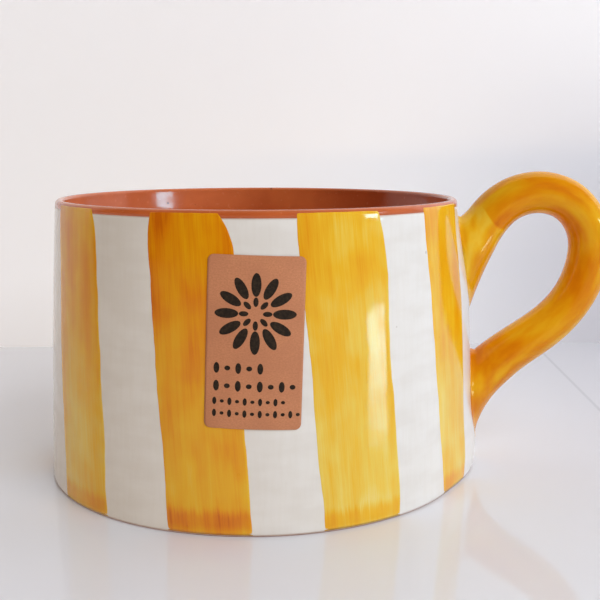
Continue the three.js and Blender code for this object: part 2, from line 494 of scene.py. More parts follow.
def makeWhiteCoat():
    low, high = vessel["glazeFoot"], vessel["glazeTop"]
    heights = low + (high - low) * np.linspace(0, 1, whiteCoat["rows"])
    # The coat thins out to nothing at its two edges.
    edge = smoothStep(0, whiteCoat["edge"], np.minimum(heights - low, high - heights))
    outside = [(wallRadius(z) + whiteCoat["proud"] * e, z) for z, e in zip(heights, edge)]
    inside = [(wallRadius(z) - whiteCoat["thickness"], z) for z in heights[::-1]]
    return turnProfile("whiteCoat", np.array(outside + inside), shapeWall, closed=True)


def makeWhiteGlaze():
    material, tree, shader = newMaterial("whiteGlaze")
    place = objectPlace(tree)
    surface = useGroup(tree, glazeSurface, {"Place": place})
    wash = useGroup(tree, brushStreaks, {
        "Place": stretched(tree, place, (1000.0, 1000.0, 1000.0)), "Across": 0.35, "Along": 0.35,
        "Patches": 0.25})
    fine = noise(tree, stretched(tree, place, (1.0, 1.0, 0.12)), 900.0, 3.0, 0.6)
    tone = mixColours(tree, wash["Patch"], *whiteCoat["tones"])
    streak = remap(tree, fine, 0.35, 0.75, 0.0, whiteCoat["streakShare"])
    drawn = mixColours(tree, streak, tone, whiteCoat["streaks"])
    # Clay shows through where the coat runs thin at its edges.
    up = partsOf(tree, place)["Z"]
    top, foot = vessel["glazeTop"], vessel["glazeFoot"]
    high = remap(tree, up, (top - whiteCoat["clayBelowTop"]) * mm, top * mm)
    low = remap(tree, up, (foot + whiteCoat["clayAboveFoot"]) * mm, foot * mm)
    thin = times(tree, calc(tree, "MAXIMUM", high, low), whiteCoat["clayShare"])
    edged = mixColours(tree, thin, drawn, whiteCoat["bareClay"])
    dark = times(tree, surface["Pinhole"], whiteCoat["pinholeShare"])
    tree.links.new(mixColours(tree, dark, edged, whiteCoat["pinhole"]), shader.inputs["Base Color"])
    tree.links.new(surface["Roughness"], shader.inputs["Roughness"])
    addBump(tree, shader, surface["Height"], whiteCoat["relief"])
    return material


# Wall heights and places in Geometry Nodes, for the strokes and the print.

def slopedWall(tree, height):
    # Radius of the wall between foot and lip, as in wallRadius().
    share = calc(tree, "DIVIDE", height, vessel["height"])
    taper = plus(tree, vessel["footRadius"], times(tree, share, vessel["rimRadius"] - vessel["footRadius"]))
    bowed = times(tree, times(tree, share, minus(tree, 1.0, share)), 4 * vessel["bow"])
    return plus(tree, taper, bowed)


def laidAt(tree, radius, azimuth, height):
    # A place round the axis, in metres.
    reach = times(tree, radius, mm)
    return vectorOf(tree, times(tree, reach, calc(tree, "COSINE", azimuth)),
                    times(tree, reach, calc(tree, "SINE", azimuth)), times(tree, height, mm))


def keepAs(tree, geometry, name, value, kind):
    return addNode(tree, "GeometryNodeStoreNamedAttribute", {
        "Geometry": geometry, "Name": name, "Value": value}, data_type=kind, domain="POINT").outputs[0]


def realWithMaterial(tree, geometry, material):
    real = addNode(tree, "GeometryNodeRealizeInstances", {"Geometry": geometry})
    return addNode(tree, "GeometryNodeSetMaterial", {
        "Geometry": real.outputs[0], "Material": material}).outputs[0]


# Yellow strokes: one Geometry Nodes tree lays a brushed stroke up the wall.

strokeLook = {
    "coat": 0.12,
    "low": 0.4,
    "high": 69.7,
    "across": 33,
    "up": 121,
    "wander": 2.2,               # how far the edges stray, slowly and finely
    "fineWander": 0.35,
    "endWander": 0.6,
    "roundLast": 0.16,           # the share of the stroke over which its top corner rounds off
    "belowLip": 0.12,
    "edgeSharpness": 8.0,        # the higher, the flatter the coat and the shorter its feathered edge
    "endSharpness": 60.0,
    "sink": 0.03,
    "backing": 0.08,             # thickness of the stroke behind its front
    "join": 2e-6,                # how close front and back lie where they merge, in metres
    "firstSeed": 3.0,
    "seedStep": 1.7,
    "handleGap": 50.0,           # degrees between the two strokes beside the handle
}
strokes = [          # width, corner and pool in mm, drift and lean in degrees, flare as a share of the width; load and shade deepens a stroke's colour for a heavier load of glaze, and also paints shade on the seventh stroke and light on the eighth
    {"width": 17.5, "drift": 0.0, "lean": 5.5, "flare": 0.04, "corner": 1.5, "loadAndShade": -0.04, "pool": 3.2},
    {"width": 19.0, "drift": 1.5, "lean": 6.0, "flare": -0.03, "corner": 2.6, "loadAndShade": -0.06, "pool": 2.4},
    {"width": 18.4, "drift": -1.0, "lean": 5.0, "flare": 0.05, "corner": 0.8, "loadAndShade": 0.02, "pool": 3.8},
    {"width": 19.6, "drift": 0.5, "lean": 6.5, "flare": 0.02, "corner": 2.0, "loadAndShade": 0.0, "pool": 3.5},
    {"width": 18.2, "drift": -1.5, "lean": 5.0, "flare": -0.04, "corner": 3.0, "loadAndShade": -0.04, "pool": 2.8},
    {"width": 18.9, "drift": -0.4, "lean": 5.8, "flare": 0.04, "corner": 1.8, "loadAndShade": -0.08, "pool": 3.4},
    {"width": 19.0, "drift": -1.25, "lean": 5.0, "flare": 0.0, "corner": 3.2, "loadAndShade": 0.15, "pool": 3.9},
    {"width": 20.2, "drift": -2.7, "lean": 5.4, "flare": 0.0, "corner": 1.2, "loadAndShade": -0.19, "pool": 3.0},
    {"width": 16.8, "drift": -4.2, "lean": 4.4, "flare": 0.45, "corner": 0.3, "loadAndShade": -0.1, "pool": 2.8},
]


def makeStrokeTree(material):
    v, look = vessel, strokeLook
    tree, given, result = newGroup(
        "brushStroke", "GeometryNodeTree",
        [("Azimuth", "Float", 0.0), ("Width", "Float", 18.0), ("Lean", "Float", 0.1), ("Flare", "Float", 0.0),
         ("Low", "Float", 1.0), ("High", "Float", 68.0), ("Coat", "Float", 0.1), ("Corner", "Float", 1.0),
         ("Load And Shade", "Float", 0.0), ("Pool", "Float", 3.0), ("Seed", "Float", 0.0)],
        [("Geometry", "Geometry")])
    sheet = addNode(tree, "GeometryNodeMeshGrid", {
        "Size X": 1.0, "Size Y": 1.0, "Vertices X": look["across"], "Vertices Y": look["up"]})
    flat = partsOf(tree, addNode(tree, "GeometryNodeInputPosition").outputs[0])
    even = times(tree, flat["X"], 2.0)
    # -1 to 1 across, with columns closer at the edges, and 0 to 1 up.
    side = times(tree, even, minus(tree, 1.5, times(tree, times(tree, even, even), 0.5)))
    rise = plus(tree, flat["Y"], 0.5)
    seed = given["Seed"]

    def wobble(first, second, offset):
        place = vectorOf(tree, first, second, plus(tree, seed, offset))
        return minus(tree, noise(tree, place, 1.0, 2.0), 0.5)

    # The two edges wander on their own.
    edgeSide = calc(tree, "SIGN", side)
    edgeWander = times(tree, wobble(edgeSide, times(tree, rise, 3.0), 5.0), look["wander"])
    fineWander = times(tree, wobble(edgeSide, times(tree, rise, 16.0), 9.0), look["fineWander"])
    flare = plus(tree, 1.0, times(tree, given["Flare"], flat["Y"]))
    flared = times(tree, given["Width"], flare)
    # The bristles lift off to one side, so one top corner is well rounded.
    rightward = remap(tree, side, -0.2, 0.4, 0.3, 1.0)
    beyond = calc(tree, "MAXIMUM", minus(tree, rise, 1 - look["roundLast"]), 0.0)
    nearTop = calc(tree, "POWER", times(tree, beyond, 1 / look["roundLast"]), 3.0)
    corner = times(tree, times(tree, nearTop, rightward), given["Corner"])
    half = plus(tree, times(tree, flared, 0.5), plus(tree, edgeWander, fineWander))
    across = times(tree, side, minus(tree, half, corner))
    # The ends are ragged, because the bristles lift one after another.
    endWander = times(tree, wobble(times(tree, side, 1.6), 0.0, 21.0), look["endWander"])
    atTop = remap(tree, rise, 0.9, 1.0)
    span = minus(tree, given["High"], given["Low"])
    straight = plus(tree, given["Low"], times(tree, rise, span))
    ragged = plus(tree, straight, times(tree, endWander, atTop))
    height = calc(tree, "MINIMUM", ragged, v["height"] - look["belowLip"])

    # Wall radius at this height, as in wallRadius().
    intoFoot = calc(tree, "MAXIMUM", minus(tree, v["footRounding"], height), 0.0)
    footRoot = calc(tree, "SQRT", minus(tree, v["footRounding"] ** 2, times(tree, intoFoot, intoFoot)))
    footInset = minus(tree, v["footRounding"], footRoot)
    intoLip = calc(tree, "MAXIMUM", minus(tree, height, v["height"] - v["lipDepth"]), 0.0)
    lipShare = calc(tree, "DIVIDE", intoLip, v["lipDepth"])
    lipRoot = calc(tree, "SQRT", minus(tree, 1.0, times(tree, lipShare, lipShare)))
    lipInset = times(tree, minus(tree, 1.0, lipRoot), v["lipWidth"] / 2)
    bare = minus(tree, slopedWall(tree, height), plus(tree, footInset, lipInset))

    lean = times(tree, given["Lean"], flat["Y"])
    azimuth = plus(tree, minus(tree, given["Azimuth"], lean), calc(tree, "DIVIDE", across, bare))

    # Padding behind the handle, as in paddingDepth().
    p = padding
    swell = minus(tree, 1.0, remap(tree, height, p["full"], p["top"]))
    fromFoot = calc(tree, "DIVIDE", minus(tree, height, p["footMiddle"]), p["footSpread"])
    footBump = calc(tree, "EXPONENT", times(tree, times(tree, fromFoot, fromFoot), -1.0))
    depth = plus(tree, times(tree, swell, p["depth"]), times(tree, footBump, p["footDepth"]))
    away = calc(tree, "ARCCOSINE", calc(tree, "COSINE", azimuth))
    aside = calc(tree, "MINIMUM", calc(tree, "DIVIDE", away, math.radians(p["reach"])), 1.0)
    fade = calc(tree, "COSINE", times(tree, aside, math.pi / 2))
    wall = plus(tree, bare, times(tree, depth, times(tree, fade, fade)))

    # A coat that is full in the middle and feathers to nothing at its edges.
    towardsEdge = calc(tree, "POWER", calc(tree, "ABSOLUTE", even), look["edgeSharpness"])
    fromMiddle = calc(tree, "ABSOLUTE", times(tree, flat["Y"], 2.0))
    towardsEnd = calc(tree, "POWER", fromMiddle, look["endSharpness"])
    dome = times(tree, minus(tree, 1.0, towardsEdge), minus(tree, 1.0, towardsEnd))
    place = vectorOf(tree, across, height, times(tree, seed, 7.0))
    marked = keepAs(tree, sheet.outputs["Mesh"], "strokePlace", place, "FLOAT_VECTOR")
    edged = keepAs(tree, marked, "strokeEdge", side, "FLOAT")
    carried = vectorOf(tree, given["Load And Shade"], given["Pool"])
    loaded = keepAs(tree, edged, "strokeLoadAndShade", carried, "FLOAT_VECTOR")

    # Its edges lie just under the white, so the coat rises out of it without a step.
    def raised(thickness):
        above = minus(tree, times(tree, dome, thickness), look["sink"])
        return addNode(tree, "GeometryNodeSetPosition", {
            "Geometry": loaded, "Position": laidAt(tree, plus(tree, wall, above), azimuth, height)})

    front = raised(given["Coat"])
    back = raised(-look["backing"])
    turned = addNode(tree, "GeometryNodeFlipFaces", {"Mesh": back.outputs[0]})
    both = addNode(tree, "GeometryNodeJoinGeometry")
    tree.links.new(turned.outputs[0], both.inputs[0])
    tree.links.new(front.outputs[0], both.inputs[0])
    closed = addNode(tree, "GeometryNodeMergeByDistance", {
        "Geometry": both.outputs[0], "Distance": look["join"]})
    smooth = addNode(tree, "GeometryNodeSetShadeSmooth", {
        "Geometry": closed.outputs[0], "Shade Smooth": True})
    tree.links.new(realWithMaterial(tree, smooth.outputs[0], material), result.inputs[0])
    return tree


def runTree(name, tree, values):
    # Runs a tree once and keeps its result as a plain mesh.
    maker = bpy.data.objects.new(name + "Maker", bpy.data.meshes.new(name + "Maker"))
    scene.collection.objects.link(maker)
    modifier = maker.modifiers.new("maker", "NODES")
    modifier.node_group = tree
    for item in tree.interface.items_tree:
        if item.item_type == "SOCKET" and item.in_out == "INPUT" and item.name in values:
            modifier[item.identifier] = values[item.name]
    bpy.context.view_layer.update()
    evaluated = maker.evaluated_get(bpy.context.evaluated_depsgraph_get())
    mesh = bpy.data.meshes.new_from_object(evaluated)
    mesh.name = name
    piece = bpy.data.objects.new(name, mesh)
    scene.collection.objects.link(piece)
    bpy.data.objects.remove(maker)
    return piece


yellow = {                       # a fuller load of glaze is a deeper colour; these shares add up to the load
    "base": 0.16,
    "clouds": 0.17,
    "patches": 0.12,
    "streaks": 0.09,
    "hairs": 0.11,
    "towardsTop": 0.28,
    "edge": -0.09,
    "pool": 0.28,
    "topBand": (12.0, 62.0),     # where the load grows towards the top, in mm
    "edgeBand": (0.93, 0.98),
    "poolTop": (2.0, -0.8),
    "poolFoot": (-3.0, -1.2, 0.5, 1.0),
    "hairLift": 0.9,
    "streakLift": 0.8,
    "colours": [(0.0, paint(240, 220, 136)), (0.22, paint(238, 206, 86)), (0.45, paint(237, 184, 34)),
                (0.68, paint(232, 158, 12)), (0.88, paint(224, 130, 8)), (1.0, paint(206, 104, 6))],
    "brushRelief": 0.02,
    "relief": 0.00018,
}


def makeYellowStroke():
    material, tree, shader = newMaterial("brushedYellow")
    place = stored(tree, "strokePlace")
    edgeSide = stored(tree, "strokeEdge", "Fac")
    loadAndShade = partsOf(tree, stored(tree, "strokeLoadAndShade"))
    streaks = useGroup(tree, brushStreaks, {"Place": place, "Across": 0.8, "Along": 0.06, "Patches": 0.4})
    hairs = useGroup(tree, brushStreaks, {"Place": place, "Across": 4.2, "Along": 0.1, "Patches": 0.1})
    clouds = remap(tree, noise(tree, stretched(tree, place, (1.0, 0.6, 1.0)), 0.11, 2.0), 0.36, 0.64)
    surface = useGroup(tree, glazeSurface, {"Place": objectPlace(tree)})
    up = partsOf(tree, place)["Y"]
    # Glaze pools in a band just above the foot, and some streaks stand up out of it.
    lift = plus(tree, times(tree, hairs["Streak"], yellow["hairLift"]),
                times(tree, streaks["Streak"], yellow["streakLift"]))
    climbed = minus(tree, minus(tree, up, lift), loadAndShade["Y"])
    above = minus(tree, up, loadAndShade["Y"])
    pool = times(tree, remap(tree, climbed, *yellow["poolTop"]), remap(tree, above, *yellow["poolFoot"]))
    # Each stroke's own load deepens its colour for a heavier load of glaze, and also as painted shade on the
    # seventh stroke and painted light on the eighth.
    depth = weighted(tree, plus(tree, loadAndShade["X"], yellow["base"]), [
        (clouds, yellow["clouds"]), (streaks["Patch"], yellow["patches"]),
        (streaks["Streak"], yellow["streaks"]), (hairs["Streak"], yellow["hairs"]),
        (remap(tree, up, *yellow["topBand"]), yellow["towardsTop"]),
        (remap(tree, edgeSide, *yellow["edgeBand"]), yellow["edge"]),
        (pool, yellow["pool"])])
    tree.links.new(colourRamp(tree, depth, yellow["colours"]), shader.inputs["Base Color"])
    tree.links.new(surface["Roughness"], shader.inputs["Roughness"])
    relief = weighted(tree, surface["Height"], [(streaks["Streak"], yellow["brushRelief"])])
    addBump(tree, shader, relief, yellow["relief"])
    return material


def makeStrokes():
    material = makeYellowStroke()
    tree = makeStrokeTree(material)
    pitch = (360 - strokeLook["handleGap"]) / (len(strokes) - 1)
    made = []
    for number, stroke in enumerate(strokes):
        middle = strokeLook["handleGap"] / 2 + pitch * number + stroke["drift"]
        made.append(runTree(f"brushStroke{number + 1}", tree, {
            "Azimuth": math.radians(middle), "Width": stroke["width"], "Lean": math.radians(stroke["lean"]),
            "Flare": stroke["flare"], "Low": strokeLook["low"], "High": strokeLook["high"],
            "Coat": strokeLook["coat"], "Corner": stroke["corner"], "Load And Shade": stroke["loadAndShade"],
            "Pool": stroke["pool"], "Seed": strokeLook["firstSeed"] + number * strokeLook["seedStep"]}))
    return made


# Handle: a coil that swells into its two luted roots, with one yellow skin over all.

handle = {
    # Distance from the axis, height and coil radius.
    "route": [(48.0, 48.0, 7.4), (57.6, 60.6, 5.7), (63.6, 67.7, 5.4), (72.6, 70.95, 5.35),
              (81.4, 68.4, 5.35), (86.6, 61.0, 5.4), (86.5, 51.0, 5.4), (82.3, 41.8, 5.35),
              (75.0, 34.5, 5.5), (66.5, 28.6, 5.7), (59.0, 22.4, 6.2), (50.0, 15.0, 7.2)],
    "skinFrom": (61.0, 65.2),    # the even part of the skin runs between these two places on the coil
    "skinTo": (65.2, 27.8),
    "around": 96,
    "ringStep": 0.8,
    "skirtRows": 34,
    "wallFillet": 1.0,
    "tailFillet": 4.5,
    "skin": 0.1,
    "teardrop": 0.65,            # the higher, the more pointed the outline of a root
    "ragged": 0.04,
    "sunk": (-0.6, -0.2),        # height over the wall and growth of the hidden rim
    "brushWidth": 5.5,
    "rootLength": 28,            # what the brush marks run on by over each root
}
roots = {    # tails are (distance from the axis, height, radius); outlines are on the wall
    "upper": {"tail": [(52.8, 56.0, 6.4), (53.2, 38.0, 1.7)], "low": 35.5, "high": 66.1, "width": 17.6},
    "lower": {"tail": [(53.4, 18.0, 6.6), (54.2, 4.0, 3.4)], "low": 0.9, "high": 31.2, "width": 18.6},
}


def splineThrough(points, perGap):
    # Natural cubic spline through points, spaced by their distance apart.
    points = np.asarray(points, float)
    gaps = np.linalg.norm(np.diff(points[:, :2], axis=0), axis=1)
    count = len(points)
    system = np.eye(count)
    target = np.zeros_like(points)
    slopes = np.diff(points, axis=0) / gaps[:, None]
    for row in range(1, count - 1):
        system[row, row - 1:row + 2] = gaps[row - 1], 2 * (gaps[row - 1] + gaps[row]), gaps[row]
        target[row] = 6 * (slopes[row] - slopes[row - 1])
    bends = np.linalg.solve(system, target)
    samples = []
    for row, gap in enumerate(gaps):
        t = np.linspace(0, 1, perGap, endpoint=False)[:, None]
        a, b = 1 - t, t
        lift = ((a ** 3 - a) * bends[row] + (b ** 3 - b) * bends[row + 1]) * gap ** 2 / 6
        samples.append(a * points[row] + b * points[row + 1] + lift)
    return np.vstack(samples + [points[-1:]])


coilLine = splineThrough(handle["route"], 20)


def smoothLower(first, second, blend):
    near = np.maximum(blend - np.abs(first - second), 0) / blend
    return np.minimum(first, second) - near * near * blend / 4


def clayDistance(points):
    # Distance to the clay of wall, coil and tails together, with a fillet wherever two of them meet.
    azimuth = np.arctan2(points[:, 1], points[:, 0])
    z = np.clip(points[:, 2], 0.05, vessel["height"] - 0.05)
    wall = np.hypot(points[:, 0], points[:, 1]) - wallRadius(z) - paddingDepth(z, azimuth)
    gapOut = points[:, :1] - coilLine[:, 0]
    gapUp = points[:, 2:] - coilLine[:, 1]
    toCoil = np.sqrt(gapOut ** 2 + points[:, 1:2] ** 2 + gapUp ** 2) - coilLine[:, 2]
    clay = toCoil.min(axis=1)
    for root in roots.values():
        start, end = np.array(root["tail"])
        a, b = np.array([start[0], 0, start[1]]), np.array([end[0], 0, end[1]])
        share = np.clip((points - a) @ (b - a) / ((b - a) @ (b - a)), 0, 1)
        radius = start[2] + (end[2] - start[2]) * share
        tail = np.linalg.norm(points - a - share[:, None] * (b - a), axis=1) - radius
        clay = smoothLower(clay, tail, handle["tailFillet"])
    return smoothLower(wall, clay, handle["wallFillet"])


def pressOnto(points, above, rounds):
    # Walks points along the slope of the distance until they lie on the clay.
    step = 0.05
    for _ in range(rounds):
        here = clayDistance(points)
        slope = np.stack([clayDistance(points + step * axis) - here for axis in np.eye(3)], axis=1) / step
        slope /= np.maximum(np.linalg.norm(slope, axis=1), 1e-6)[:, None]
        points = points - 0.8 * slope * (here - above)[:, None]
    return points


def coilRings(lengths, wanted, turns):
    # Rings round the coil at the wanted lengths along it; turn 0 faces the finger gap.
    ahead = np.gradient(coilLine[:, :2], axis=0)
    out, up, radius, aheadOut, aheadUp = (
        np.interp(wanted, lengths, column)[:, None] for column in np.column_stack([coilLine, ahead]).T)
    size = np.hypot(aheadOut, aheadUp)
    reach = (radius + handle["skin"]) * np.cos(turns)
    return np.stack([out + reach * aheadUp / size, (radius + handle["skin"]) * np.sin(turns),
                     up - reach * aheadOut / size], axis=-1)


def outline(root, turns, above, grow=0.0):
    # A teardrop at a height above the wall, round at the top and drawn out to a tip at the foot.
    middle = (root["low"] + root["high"]) / 2
    reach = (root["high"] - root["low"]) / 2 + grow
    fromTip = turns / 2
    narrowing = np.abs(np.sin(fromTip)) ** handle["teardrop"]
    z = middle - reach * np.cos(turns)
    across = (root["width"] / 2 + grow) * np.sin(turns) * narrowing
    ragged = 0.25 * np.sin(5 * turns + 1) + 0.15 * np.sin(11 * turns)
    across = across * (1 + handle["ragged"] * ragged)
    azimuth = across / wallRadius(np.clip(z, 0.2, vessel["height"]))
    return wallPoint(np.maximum(z, 0.35), azimuth, above)


def makeSkirt(ring, edge):
    # Rows from a ring on the coil down to the outline on the wall, each row pressed onto the clay.
    shares = np.linspace(0, 1, handle["skirtRows"])[1:, None, None]
    rows = pressOnto((ring * (1 - shares) + edge * shares).reshape(-1, 3), handle["skin"], 8)
    rows = rows.reshape(len(shares), -1, 3)
    # Pressing pulls the rows together, so ease their spacing and press again.
    for _ in range(5):
        chain = np.concatenate([ring[None], rows], axis=0)
        rows[:-1] = 0.5 * rows[:-1] + 0.25 * (chain[:-2] + chain[2:])
        rows[:-1] = pressOnto(rows[:-1].reshape(-1, 3), handle["skin"], 4).reshape(rows[:-1].shape)
        rows[-1] = edge
    return rows


def makeHandle():
    turns = np.arange(handle["around"]) * 2 * math.pi / handle["around"]
    steps = np.linalg.norm(np.diff(coilLine[:, :2], axis=0), axis=1)
    lengths = np.concatenate([[0], np.cumsum(steps)])
    first, last = (
        lengths[np.argmin(np.hypot(coilLine[:, 0] - spot[0], coilLine[:, 1] - spot[1]))]
        for spot in (handle["skinFrom"], handle["skinTo"]))
    wanted = np.linspace(first, last, int((last - first) / handle["ringStep"]))
    rings = coilRings(lengths, wanted, turns)
    # The upper tip hangs under the side that faces the finger gap, and the lower tip under the far side.
    upper = makeSkirt(rings[0], outline(roots["upper"], turns, handle["skin"]))
    lower = makeSkirt(rings[-1], outline(roots["lower"], math.pi - turns, handle["skin"]))
    sunkUpper = outline(roots["upper"], turns, *handle["sunk"])[None]
    sunkLower = outline(roots["lower"], math.pi - turns, *handle["sunk"])[None]
    rows = np.concatenate([sunkUpper, upper[::-1], rings, lower, sunkLower], axis=0)
    columns = handle["around"]
    points = rows.reshape(-1, 3)
    faces = [face[::-1] for face in gridFaces(len(rows), columns)]
    ends = np.stack([rows[0].mean(axis=0), rows[-1].mean(axis=0)])
    start, end = len(points), len(points) + 1
    top = (len(rows) - 1) * columns
    for column in range(columns):
        beside = (column + 1) % columns
        faces.append((start, column, beside))
        faces.append((end, top + beside, top + column))
    piece = makeMesh("glazedHandle", np.vstack([points, ends]), faces)
    # Where each point lies: across the coil in two directions, and along it.
    middles = np.concatenate([[first] * (len(upper) + 1), wanted, [last] * (len(lower) + 1)])
    drift = np.concatenate([np.linspace(-handle["rootLength"], 0, len(upper) + 1), 0 * wanted,
                            np.linspace(0, handle["rootLength"], len(lower) + 1)])
    along = (middles + drift)[:, None] + 0 * turns
    width = handle["brushWidth"]
    side = np.cos(turns)[None] + 0 * along
    across = np.sin(turns)[None] + 0 * along
    place = np.stack([side * width, across * width, along], axis=-1).reshape(-1, 3)
    storeVectors(piece, "coilPlace", np.vstack([place, [[0, 0, 0], [0, 0, 0]]]))
    return piece


handleYellow = {                 # as for the strokes, with a second coat over part of the coil, kept to its inner side as painted shade
    "base": 0.06,
    "patches": 0.34,
    "streaks": 0.14,
    "secondCoatAndShade": 0.44,
    "bulge": 0.12,               # how round the end of the second coat is
    "startsAt": (18.6, 20.0),    # places along the coil, in mm
    "wornOver": (24.0, 46.0, 1.0, 0.5),
    "lean": 0.4,
    "inwardShadeBand": (-5.0, 1.4),
    "colours": [(0.0, paint(238, 194, 62)), (0.25, paint(234, 174, 28)), (0.48, paint(228, 152, 14)),
                (0.7, paint(220, 128, 8)), (1.0, paint(196, 96, 5))],
    "relief": 0.0003,
    "shine": {"Specular_Tint": (1.0, 0.86, 0.42, 1.0), "Specular_IOR_Level": 0.42},
}


def makeHandleGlaze():
    material, tree, shader = newMaterial("yellowOnCoil", **handleYellow["shine"])
    place = stored(tree, "coilPlace")
    parts = partsOf(tree, place)
    drawn = stretched(tree, place, (1.0, 1.0, 0.3))
    patches = remap(tree, noise(tree, drawn, 0.17, 1.0, 0.4), 0.4, 0.6)
    streaks = remap(tree, noise(tree, drawn, 0.55, 3.0, 0.55), 0.3, 0.7)
    surface = useGroup(tree, glazeSurface, {"Place": objectPlace(tree)})
    # A second load of glaze starts a little way up the coil with a rounded end, and thins out along it; it is
    # kept to the inner side of the coil, so it also paints shade there.
    look = handleYellow
    bulge = times(tree, times(tree, parts["X"], parts["X"]), look["bulge"])
    start = remap(tree, minus(tree, parts["Z"], bulge), *look["startsAt"])
    inward = minus(tree, parts["X"], times(tree, parts["Y"], look["lean"]))
    wornAndHighlit = remap(tree, parts["Z"], *look["wornOver"])
    secondCoatAndShade = times(tree, times(tree, start, wornAndHighlit), remap(tree, inward, *look["inwardShadeBand"]))
    depth = weighted(tree, look["base"], [
        (patches, look["patches"]), (streaks, look["streaks"]), (secondCoatAndShade, look["secondCoatAndShade"])])
    tree.links.new(colourRamp(tree, depth, look["colours"]), shader.inputs["Base Color"])
    tree.links.new(surface["Roughness"], shader.inputs["Roughness"])
    addBump(tree, shader, surface["Height"], look["relief"])
    return material


# Paper label with a plain printed rosette and rows of marks.

label = {
    "azimuth": -90.4, "height": 42.3, "turn": 2.0, "width": 20.6, "tall": 36.8, "corner": 1.3,
    "above": 0.16, "paper": 0.12, "rows": 74, "columns": 42,
}
printing = {
    "rosetteHeight": 6.2, "petals": 12, "petalReach": 6.1, "petalLength": 2.5, "petalWidth": 1.05,
    "innerPetals": 8, "innerReach": 2.5, "innerLength": 1.0, "innerWidth": 0.55, "ink": 0.03,
    "rows": [(-5.4, 5, 1.0), (-9.2, 8, 1.0), (-12.5, 10, 0.7), (-15.1, 12, 0.7)],   # height, marks, size
    "pitch": 2.3, "leftEdge": -8.9,
    "mark": (0.62, 1.15), "shorter": 0.55,       # half sizes of a mark; every other one is this much shorter
    "inks": (paint(36, 29, 22), paint(60, 47, 35)), "relief": 0.00003,
}


def wrapFlat(flat, above):
    turn = math.radians(-label["turn"])
    x = flat[:, 0] * math.cos(turn) - flat[:, 1] * math.sin(turn)
    z = flat[:, 0] * math.sin(turn) + flat[:, 1] * math.cos(turn) + label["height"]
    azimuth = math.radians(label["azimuth"]) + x / wallRadius(z)
    return wallPoint(z, azimuth, above)


def makeLabel():
    rows, columns = label["rows"], label["columns"]
    straight = label["tall"] / 2 - label["corner"]
    edgeTurn = np.linspace(0, math.pi / 2, 8)
    ends = straight + label["corner"] * np.sin(edgeTurn)
    heights = np.concatenate([-ends[::-1], np.linspace(-straight, straight, rows)[1:-1], ends])
    flat = []
    for y in heights:
        beyond = max(abs(y) - straight, 0)
        half = label["width"] / 2 - label["corner"] + math.sqrt(max(label["corner"] ** 2 - beyond ** 2, 0))
        flat += [(x, y) for x in np.linspace(-half, half, columns)]
    flat = np.array(flat)
    front = wrapFlat(flat, label["above"] + label["paper"])
    back = wrapFlat(flat, label["above"])
    count, tall = len(flat), len(heights)
    faces = []
    for row in range(tall - 1):
        for column in range(columns - 1):
            a = row * columns + column
            faces.append((a, a + 1, a + columns + 1, a + columns))
            faces.append((a + count, a + count + columns, a + count + columns + 1, a + count + 1))
    border = list(range(columns)) + [row * columns + columns - 1 for row in range(1, tall)]
    border += list(range(count - 2, count - columns - 1, -1))
    border += [row * columns for row in range(tall - 2, 0, -1)]
    for here, beside in zip(border, border[1:] + border[:1]):
        faces.append((beside, here, here + count, beside + count))
    piece = makeMesh("paperLabel", np.vstack([front, back]), faces)
    storeVectors(piece, "labelPlace", np.vstack([np.column_stack([flat, 0 * flat[:, 0]])] * 2))
    return piece


